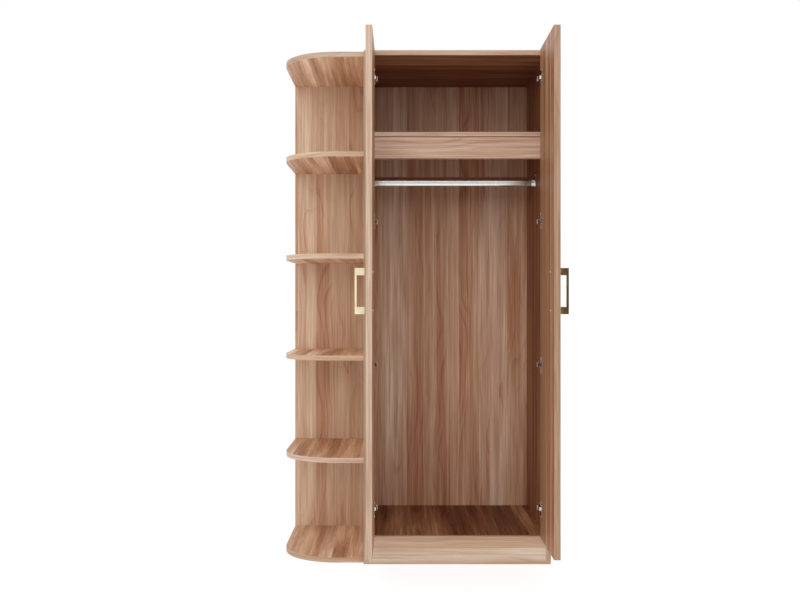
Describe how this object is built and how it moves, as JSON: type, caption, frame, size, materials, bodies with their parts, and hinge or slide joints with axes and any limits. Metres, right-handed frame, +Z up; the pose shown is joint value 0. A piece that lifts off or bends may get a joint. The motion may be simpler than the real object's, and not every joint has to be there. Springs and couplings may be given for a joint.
{
  "type": "corner wardrobe",
  "caption": "Tall wood-grain wardrobe with two hinged doors, hat shelf and hanging rail, and open rounded corner shelves on its left side.",
  "frame": {"origin": "on the floor, under the middle of the box round the whole wardrobe with both doors open", "axes": "+Z up, +X to the right of a person facing the doors, +Y from the doors towards the back"},
  "size_m": [0.97, 0.8824, 1.8],
  "materials": {
    "wood_board": "satin melamine with walnut-coloured grain",
    "wood_back": "matt printed wood grain",
    "plywood": "raw plywood",
    "rail_chrome": "polished chrome",
    "socket_metal": "satin chrome",
    "hinge_nickel": "satin nickel",
    "handle_gold": "polished gold"
  },
  "bodies": {
    "carcass": {"back_panel": "wood_back", "bottom_panel": "wood_board", "carcass_tongues": "plywood", "corner_back_panel": "wood_back", "corner_bottom": "wood_board", "corner_shelf_1": "wood_board", "corner_shelf_2": "wood_board", "corner_shelf_3": "wood_board", "corner_shelf_4": "wood_board", "corner_tongues": "plywood", "corner_top": "wood_board", "hanging_rail": "rail_chrome", "hat_shelf": "wood_board", "kick_board": "wood_board", "left_hinge_arm_pins": "hinge_nickel", "left_hinge_arms": "hinge_nickel", "left_hinge_plates": "hinge_nickel", "left_side_panel": "wood_board", "rail_socket_screws": "hinge_nickel", "rail_sockets": "socket_metal", "rear_plinth_rail": "wood_board", "right_hinge_arm_pins": "hinge_nickel", "right_hinge_arms": "hinge_nickel", "right_hinge_plates": "hinge_nickel", "right_side_panel": "wood_board", "shelf_apron": "wood_board", "top_panel": "wood_board"},
    "left_hinge_links": {"left_hinge_links": "hinge_nickel"},
    "right_hinge_links": {"right_hinge_links": "hinge_nickel"},
    "left_door": {"left_door": "wood_board", "left_handle": "handle_gold", "left_handle_screws": "hinge_nickel", "left_hinge_cup_pins": "hinge_nickel", "left_hinge_cups": "hinge_nickel"},
    "right_door": {"right_door": "wood_board", "right_handle": "handle_gold", "right_handle_screws": "hinge_nickel", "right_hinge_cup_pins": "hinge_nickel", "right_hinge_cups": "hinge_nickel"}
  },
  "joints": [
    {"name": "left_link_pivot", "type": "hinge", "parent": "carcass", "child": "left_hinge_links", "pos_m": [-0.14735, -0.10075, 0.949], "axis": [0, 0, 1], "range_deg": [-46.34, 2.67]},
    {"name": "left_door_swing", "type": "hinge", "parent": "left_hinge_links", "child": "left_door", "pos_m": [-0.156, -0.13075, 0.949], "axis": [0, 0, 1], "range_deg": [-7.57, 136.24]},
    {"name": "right_link_pivot", "type": "hinge", "parent": "carcass", "child": "right_hinge_links", "pos_m": [0.42135, -0.10075, 0.949], "axis": [0, 0, -1], "range_deg": [-46.34, 2.67]},
    {"name": "right_door_swing", "type": "hinge", "parent": "right_hinge_links", "child": "right_door", "pos_m": [0.43, -0.13075, 0.949], "axis": [0, 0, -1], "range_deg": [-7.57, 136.24]}
  ],
  "couplings": [
    {"joint": "left_link_pivot", "follows": "left_door_swing", "ratio": -0.33941},
    {"joint": "right_link_pivot", "follows": "right_door_swing", "ratio": -0.33941}
  ]
}
